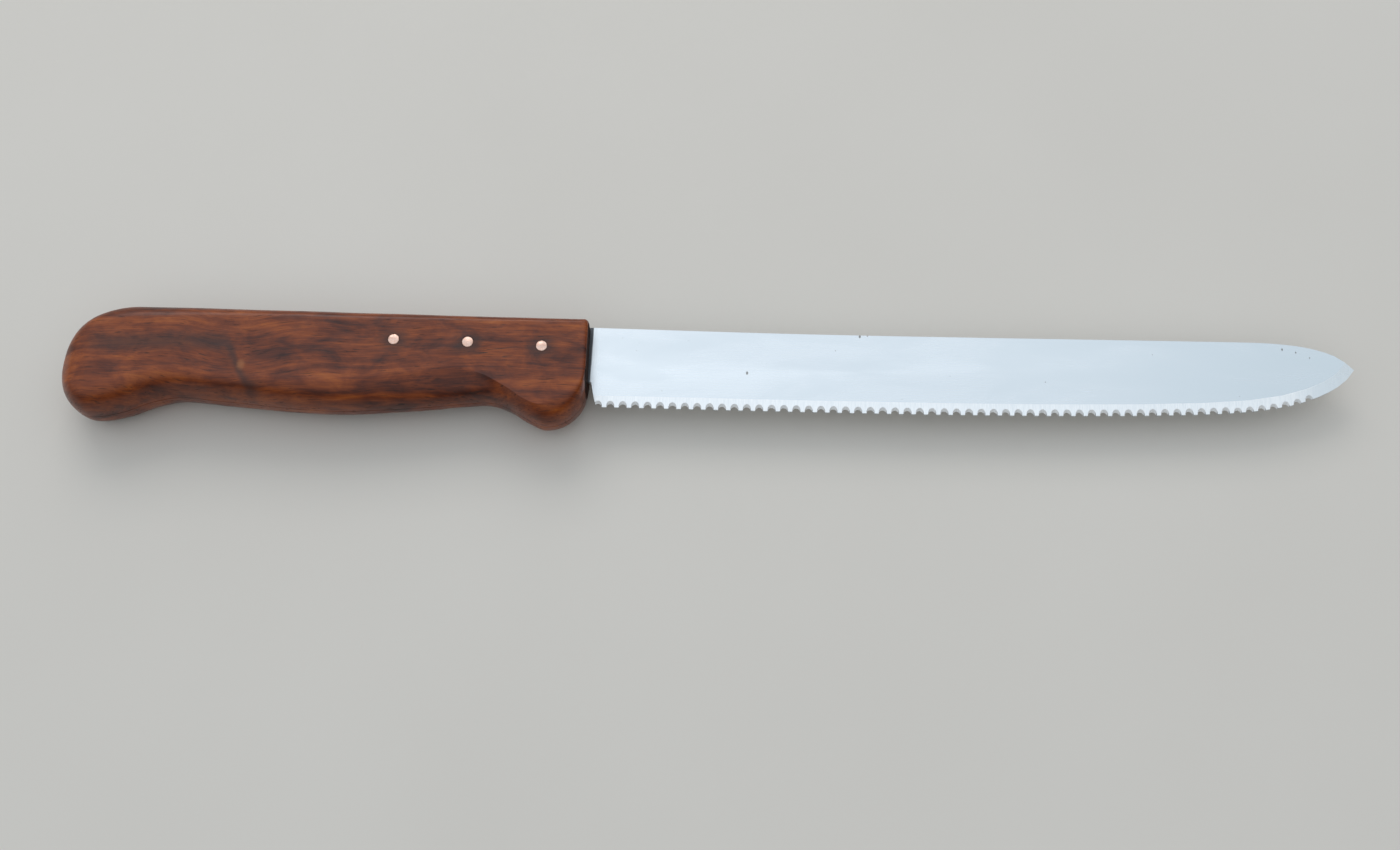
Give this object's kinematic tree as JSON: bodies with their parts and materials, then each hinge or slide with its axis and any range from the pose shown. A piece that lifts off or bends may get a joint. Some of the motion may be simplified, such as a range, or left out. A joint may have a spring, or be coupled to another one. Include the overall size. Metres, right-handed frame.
{
  "type": "bread knife",
  "caption": "Serrated kitchen bread knife: flat steel blade with scalloped edge, half tang held in a two-piece sculpted wooden handle by copper pins.",
  "frame": {"origin": "centre of the bounding box in X and Y, on the lowest side of the handle in Z, so the knife lies on its left side", "axes": "+X from butt to tip, +Y from cutting edge to spine, +Z out of the blade's ground side; the blade's flat is parallel to XY"},
  "size_m": [0.3388, 0.0292, 0.0189],
  "materials": {
    "steel": "polished, fine lengthwise scratches",
    "wood": "oiled and polished reddish hardwood, semi-gloss",
    "glue": "cured dark epoxy",
    "copper": "copper rod, peened and filed flush"
  },
  "bodies": {
    "root": {"blade": "steel", "right_scale": "wood", "left_scale": "wood", "glue_bed": "glue", "front_pin": "copper", "middle_pin": "copper", "rear_pin": "copper"}
  },
  "joints": []
}
